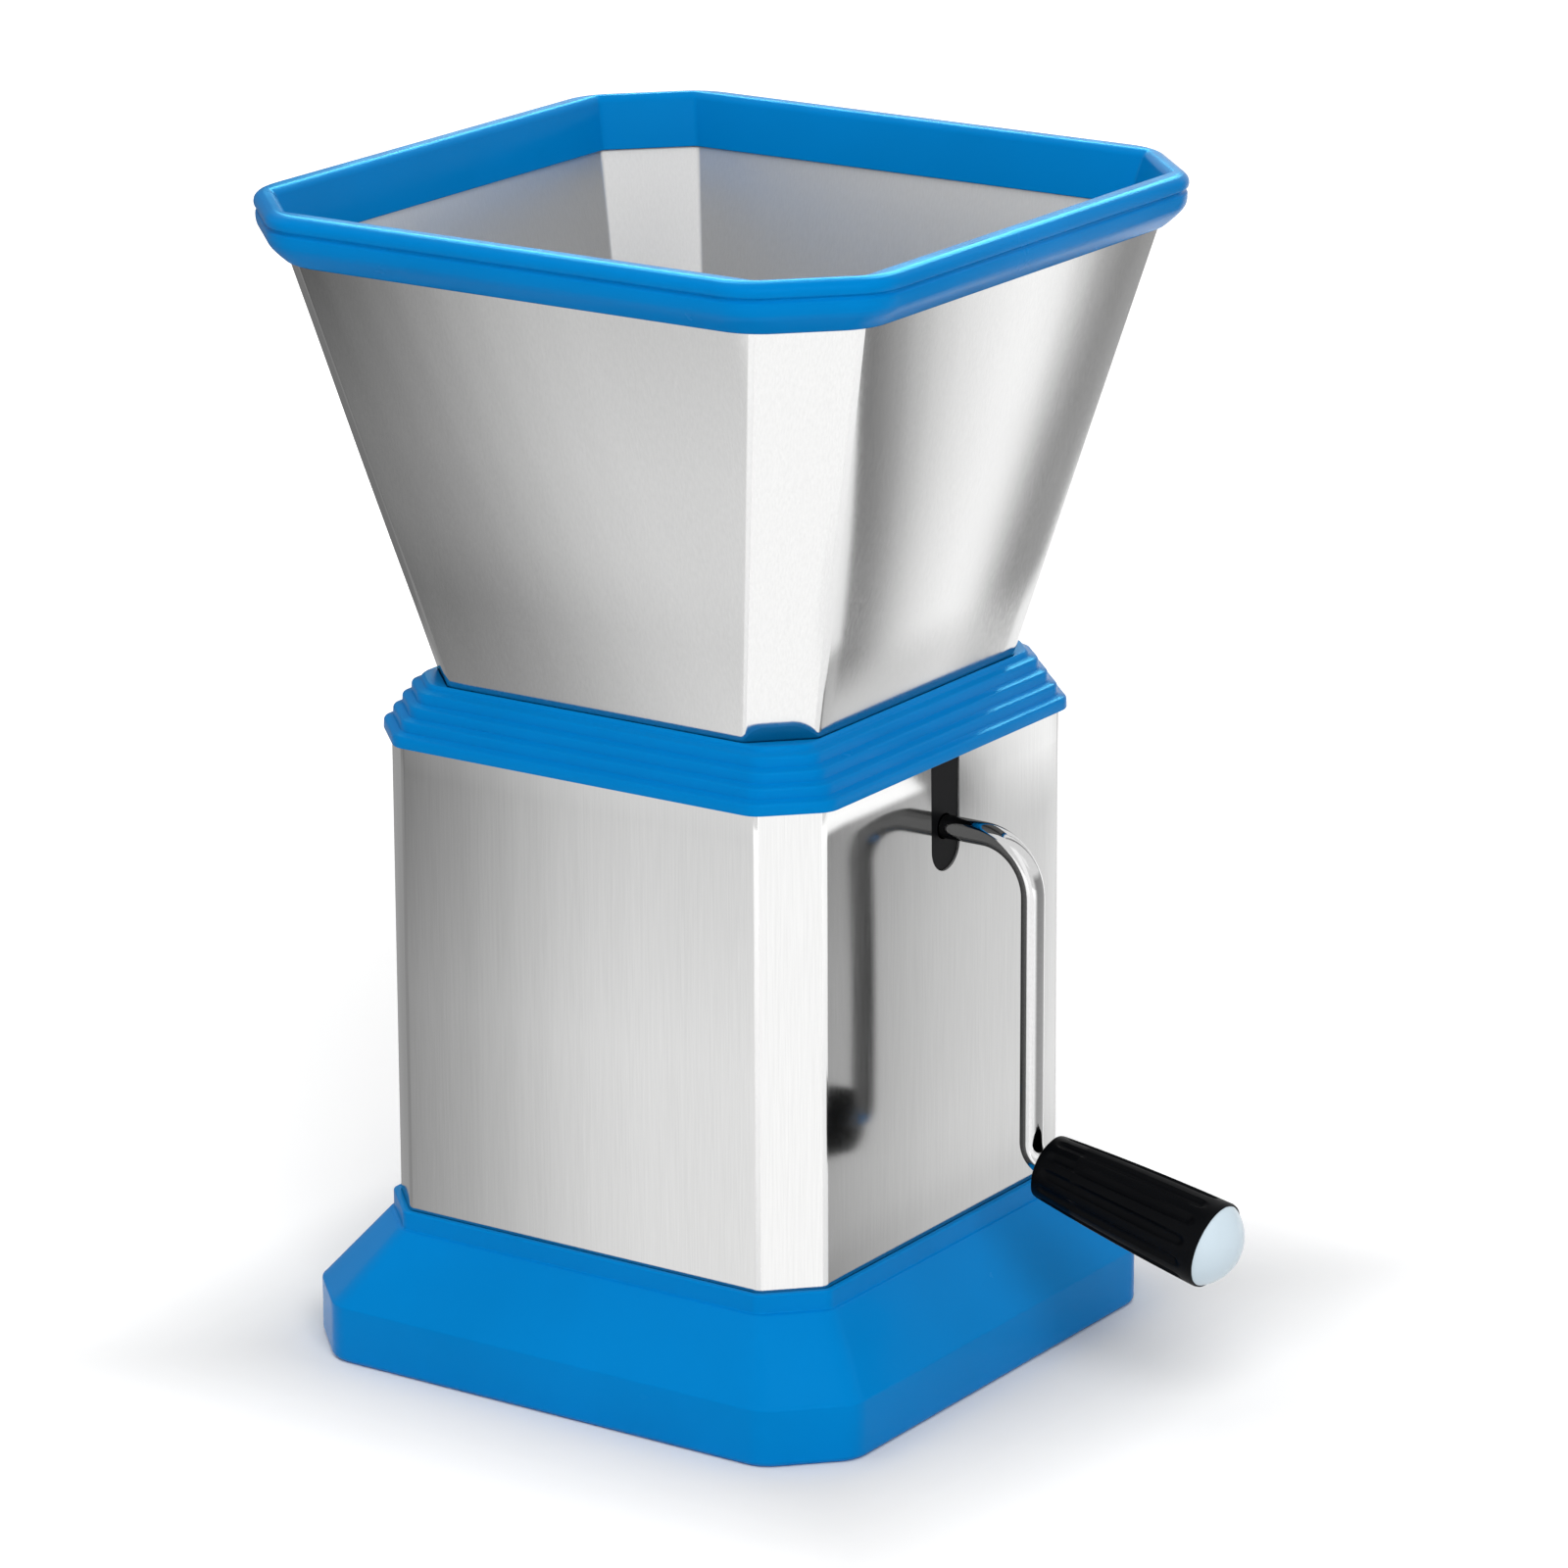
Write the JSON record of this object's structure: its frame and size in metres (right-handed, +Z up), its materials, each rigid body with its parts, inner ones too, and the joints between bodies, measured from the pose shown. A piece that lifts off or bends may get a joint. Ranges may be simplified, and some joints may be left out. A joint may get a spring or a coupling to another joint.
{
  "type": "hand crank nut grinder",
  "caption": "Hand crank nut grinder with a steel hopper, ribbed plastic collar, lift-off cutter unit, steel catch container and flared plastic base.",
  "frame": {"origin": "centre of the base's bottom, on the surface it stands on", "axes": "+Z up through the hopper's mouth, +X out of the face that the crank comes through, along the crank's shaft"},
  "size_m": [0.2055, 0.1572, 0.251],
  "materials": {
    "steel_sheet": "satin polished",
    "frame_steel": "satin",
    "cutter_steel": "ground",
    "spacer_steel": "turned",
    "fastener_steel": "plated",
    "rod_chrome": "polished",
    "bush_brass": "turned",
    "blue_plastic": "moulded gloss",
    "black_plastic": "moulded",
    "white_plastic": "moulded gloss"
  },
  "bodies": {
    "container": {"container_shell": "steel_sheet", "plinth_base": "blue_plastic", "base_rivets": "fastener_steel"},
    "hopper_unit": {"top_rim": "blue_plastic", "hopper_shell": "steel_sheet", "shoulder_ring": "blue_plastic", "cutter_frame": "frame_steel", "frame_screws": "fastener_steel", "frame_nuts": "fastener_steel", "front_comb": "cutter_steel", "rear_comb": "cutter_steel", "comb_rivets": "fastener_steel", "near_bush": "bush_brass", "far_bush": "bush_brass", "slot_guide": "black_plastic", "guide_screws": "fastener_steel"},
    "rotor": {"crank_rod": "rod_chrome", "rod_end_clip": "fastener_steel", "spindle_clip": "fastener_steel", "spindle_washer": "fastener_steel", "cutter_wheel_1": "cutter_steel", "cutter_wheel_2": "cutter_steel", "cutter_wheel_3": "cutter_steel", "cutter_wheel_4": "cutter_steel", "cutter_wheel_5": "cutter_steel", "cutter_wheel_6": "cutter_steel", "cutter_wheel_7": "cutter_steel", "wheel_spacer_1": "spacer_steel", "wheel_spacer_2": "spacer_steel", "wheel_spacer_3": "spacer_steel", "wheel_spacer_4": "spacer_steel", "wheel_spacer_5": "spacer_steel", "wheel_spacer_6": "spacer_steel", "shaft_collar": "fastener_steel", "collar_screw": "fastener_steel", "clamp_washer": "fastener_steel", "clamp_nut": "fastener_steel"},
    "grip": {"crank_grip": "black_plastic", "grip_cap": "white_plastic"}
  },
  "joints": [
    {"name": "hopper_lift", "type": "slide", "parent": "container", "child": "hopper_unit", "axis": [0, 0, 1], "range_m": [0, 0.06]},
    {"name": "crank_turn", "type": "hinge", "parent": "hopper_unit", "child": "rotor", "pos_m": [0, 0, 0.1203], "axis": [1, 0, 0], "continuous": true},
    {"name": "grip_spin", "type": "hinge", "parent": "rotor", "child": "grip", "pos_m": [0.08065, 0, 0.05043], "axis": [0.9744, 0, -0.225], "continuous": true}
  ]
}
